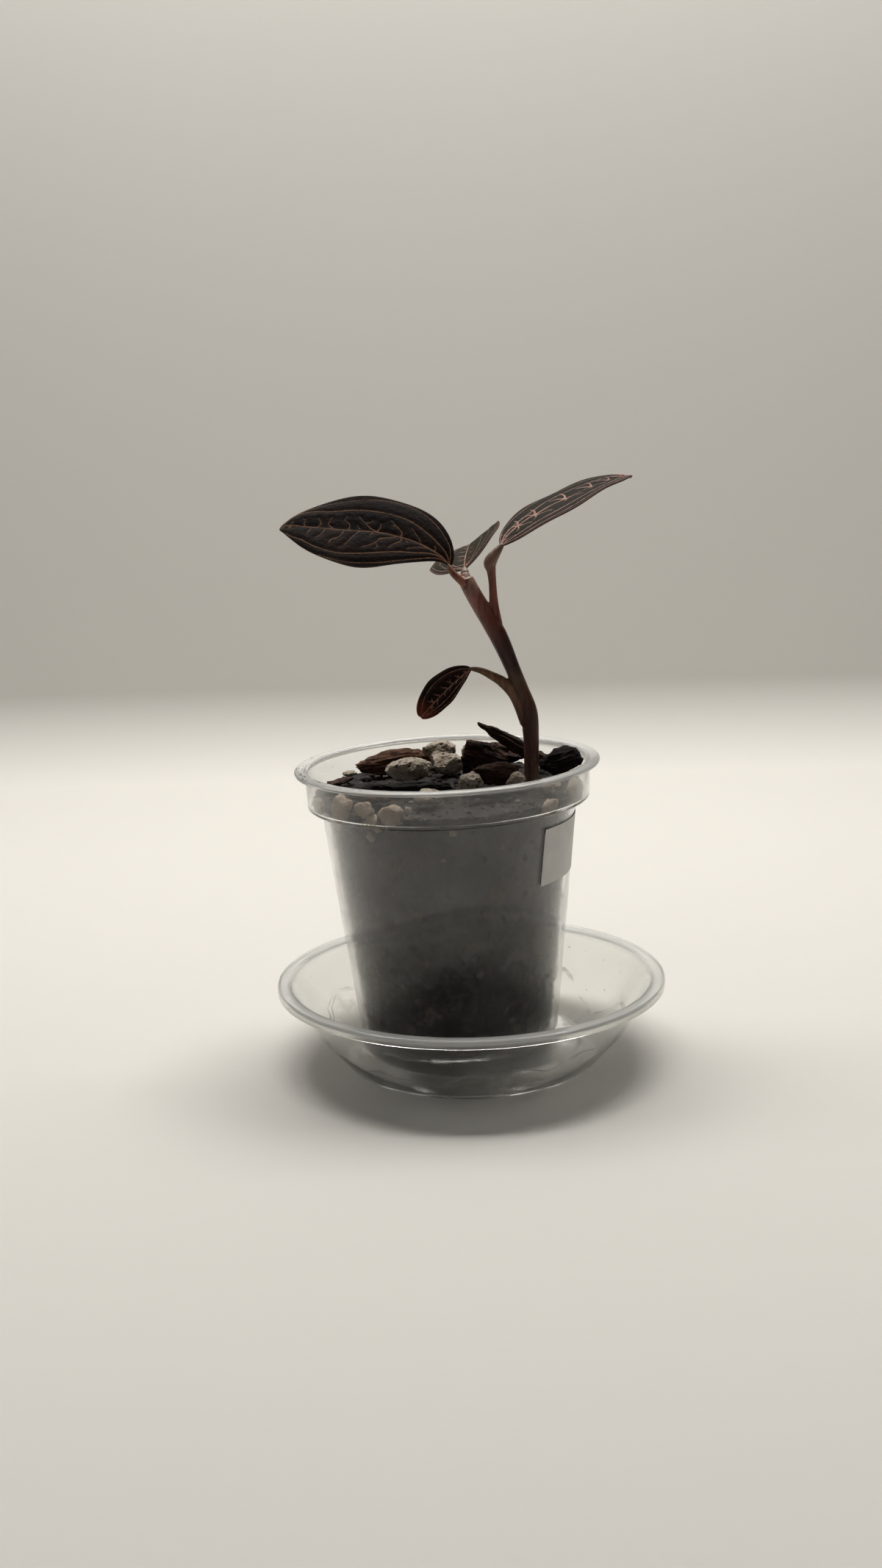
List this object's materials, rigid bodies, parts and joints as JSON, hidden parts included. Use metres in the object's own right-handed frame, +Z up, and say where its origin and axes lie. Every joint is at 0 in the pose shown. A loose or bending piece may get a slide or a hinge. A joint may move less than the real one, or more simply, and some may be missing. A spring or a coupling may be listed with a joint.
{
  "type": "potted jewel orchid",
  "caption": "Small jewel orchid with veined leaves, growing in a bark and pumice mix in a clear nursery pot that stands in a clear saucer.",
  "frame": {"origin": "middle of the saucer's foot, on the surface it stands on", "axes": "+Z up, -Y towards the side that shows the large left leaf's face, +X towards the long right leaf"},
  "size_m": [0.1156, 0.1156, 0.1696],
  "materials": {
    "clear_plastic": "clear, slightly frosted thin plastic with water marks",
    "label_paper": "blank matte white paper sticker",
    "potting_mix": "damp dark orchid mix of bark, moss and grit",
    "stalk": "smooth fleshy stalk, reddish brown to olive",
    "leaf_dark": "velvety black-brown blade with copper veins",
    "leaf_olive": "velvety dark olive blade with pale veins",
    "bark_orange": "dry orange-brown pine bark",
    "bark_brown": "fibrous reddish brown bark",
    "bark_dark": "damp black-brown bark",
    "pumice": "porous beige pumice stone"
  },
  "bodies": {
    "root": {"saucer": "clear_plastic", "pot": "clear_plastic", "label": "label_paper", "potting_mix": "potting_mix", "orchid_stem": "stalk", "leaf_left": "leaf_dark", "leaf_right": "leaf_olive", "leaf_back": "leaf_olive", "leaf_low": "leaf_dark", "bark_back": "bark_brown", "bark_black": "bark_dark", "bark_edge_1": "bark_dark", "bark_edge_2": "bark_dark", "bark_edge_3": "bark_brown", "bark_front": "bark_dark", "bark_front_left": "bark_brown", "bark_front_right": "bark_dark", "bark_left": "bark_orange", "bark_rear_left": "bark_brown", "bark_rear_right": "bark_dark", "bark_red": "bark_brown", "bark_splinter": "bark_brown", "bark_striped": "bark_brown", "pumice_back": "pumice", "pumice_front": "pumice", "pumice_left": "pumice", "pumice_middle": "pumice", "pumice_near": "pumice", "pumice_pale": "pumice", "pumice_rear": "pumice", "pumice_right": "pumice", "pumice_small": "pumice", "pumice_white": "pumice"}
  },
  "joints": []
}
